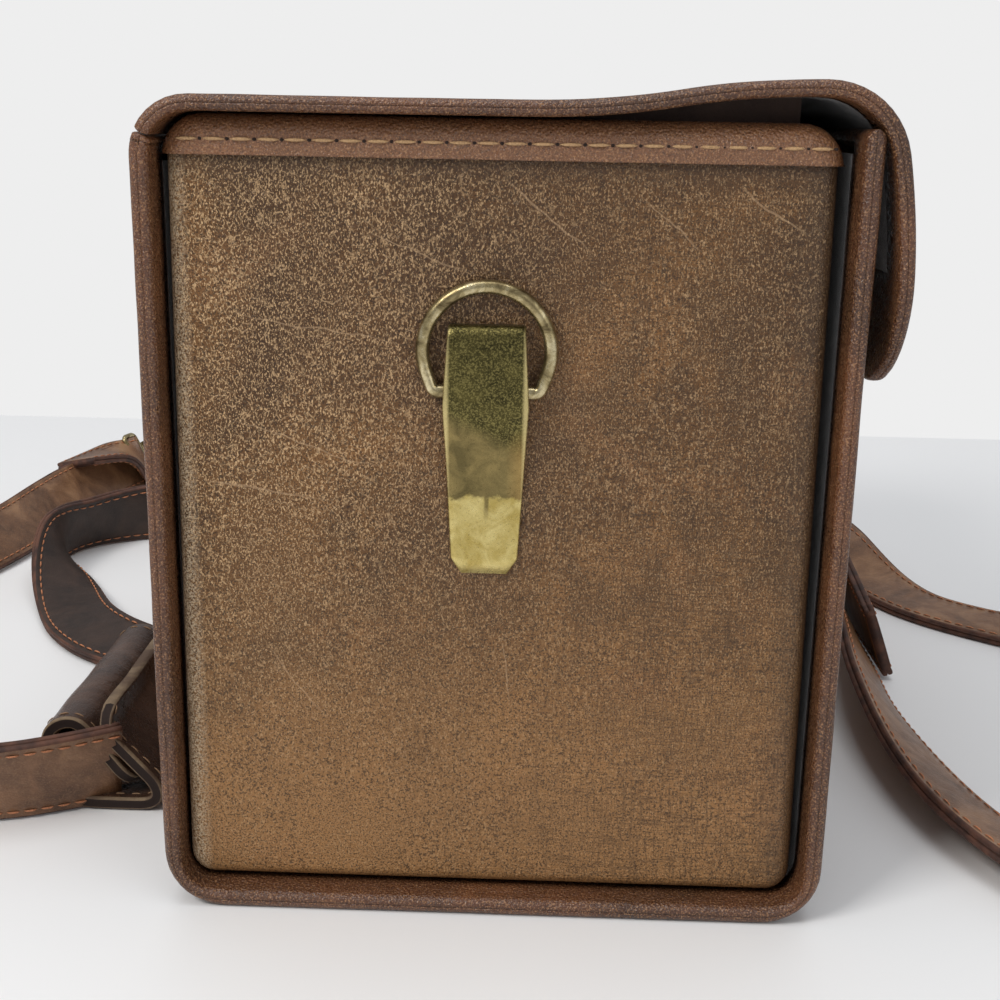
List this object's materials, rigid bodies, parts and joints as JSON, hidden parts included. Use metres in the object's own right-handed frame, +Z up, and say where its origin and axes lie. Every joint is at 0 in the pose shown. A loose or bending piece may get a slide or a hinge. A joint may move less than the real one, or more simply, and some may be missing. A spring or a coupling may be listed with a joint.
{
  "type": "camera case",
  "caption": "Hard leather camera case with a hinged lid and front flap, recessed end panels with ring lugs, a slide lock and a loose padded shoulder strap with snap hooks",
  "frame": {"origin": "middle of the flat underside", "axes": "+Z up, +X towards the front flap, Y along the case, the pictured end at -Y"},
  "size_m": [0.4801, 0.4289, 0.194],
  "materials": {
    "case_leather": "grained, worn semi-gloss",
    "strap_leather": "smooth, worn",
    "pad_leather": "smooth, worn",
    "board": "plain",
    "lining": "short pile",
    "brass": "tarnished"
  },
  "bodies": {
    "case": {"back_board": "board", "base_pad": "lining", "body_lining": "lining", "bottom_board": "board", "divider": "lining", "far_end_binding": "case_leather", "far_end_board": "board", "far_end_foam": "lining", "far_end_lining": "lining", "far_end_panel": "case_leather", "far_lug_plate": "brass", "far_lug_rivet": "brass", "front_board": "board", "hook_eye_a": "brass", "hook_eye_b": "brass", "lock_case": "brass", "lock_rivets": "brass", "near_end_binding": "case_leather", "near_end_board": "board", "near_end_foam": "lining", "near_end_lining": "lining", "near_end_panel": "case_leather", "near_lug_plate": "brass", "near_lug_rivet": "brass", "shoulder_pad": "pad_leather", "strap_a": "strap_leather", "strap_b": "strap_leather", "strap_end_a": "strap_leather", "strap_end_b": "strap_leather", "wrap_leather": "case_leather"},
    "lid": {"lid_leather": "case_leather", "lid_stiffener": "board", "lid_lining": "lining", "hasp": "brass", "hasp_rivets": "brass"},
    "near_ring": {"near_ring": "brass"},
    "far_ring": {"far_ring": "brass"},
    "lock_slider": {"lock_bolt": "brass", "lock_button": "brass"},
    "hook_a": {"hook_body_a": "brass", "hook_pin_a": "brass"},
    "gate_a": {"hook_gate_a": "brass"},
    "hook_b": {"hook_body_b": "brass", "hook_pin_b": "brass"},
    "gate_b": {"hook_gate_b": "brass"}
  },
  "joints": [
    {"name": "lid_hinge", "type": "hinge", "parent": "case", "child": "lid", "pos_m": [-0.07727, 0, 0.18174], "axis": [0, -1, 0], "range_deg": [0, 180]},
    {"name": "near_ring_swing", "type": "hinge", "parent": "case", "child": "near_ring", "pos_m": [-0.0029, -0.12095, 0.1273], "axis": [1, 0, 0], "range_deg": [0, 172]},
    {"name": "far_ring_swing", "type": "hinge", "parent": "case", "child": "far_ring", "pos_m": [-0.0029, 0.12095, 0.1273], "axis": [-1, 0, 0], "range_deg": [0, 172]},
    {"name": "lock_slide", "type": "slide", "parent": "case", "child": "lock_slider", "axis": [0, -1, 0], "range_m": [0, 0.003]},
    {"name": "hook_a_swivel", "type": "hinge", "parent": "case", "child": "hook_a", "pos_m": [-0.19212, 0.26539, 0.01337], "axis": [0.2588, 0.9659, 0], "continuous": true},
    {"name": "gate_a_hinge", "type": "hinge", "parent": "hook_a", "child": "gate_a", "pos_m": [-0.19263, 0.27546, 0.01875], "axis": [-0.8365, 0.2241, -0.5], "range_deg": [0, 25], "stiffness_Nm_per_rad": 0.02, "springref_deg": -20.05},
    {"name": "hook_b_swivel", "type": "hinge", "parent": "case", "child": "hook_b", "pos_m": [0.1245, 0.1292, 0.0152], "axis": [0, 1, 0], "continuous": true},
    {"name": "gate_b_hinge", "type": "hinge", "parent": "hook_b", "child": "gate_b", "pos_m": [0.1245, 0.1388, 0.0214], "axis": [-1, 0, 0], "range_deg": [0, 25], "stiffness_Nm_per_rad": 0.02, "springref_deg": -20.05}
  ]
}
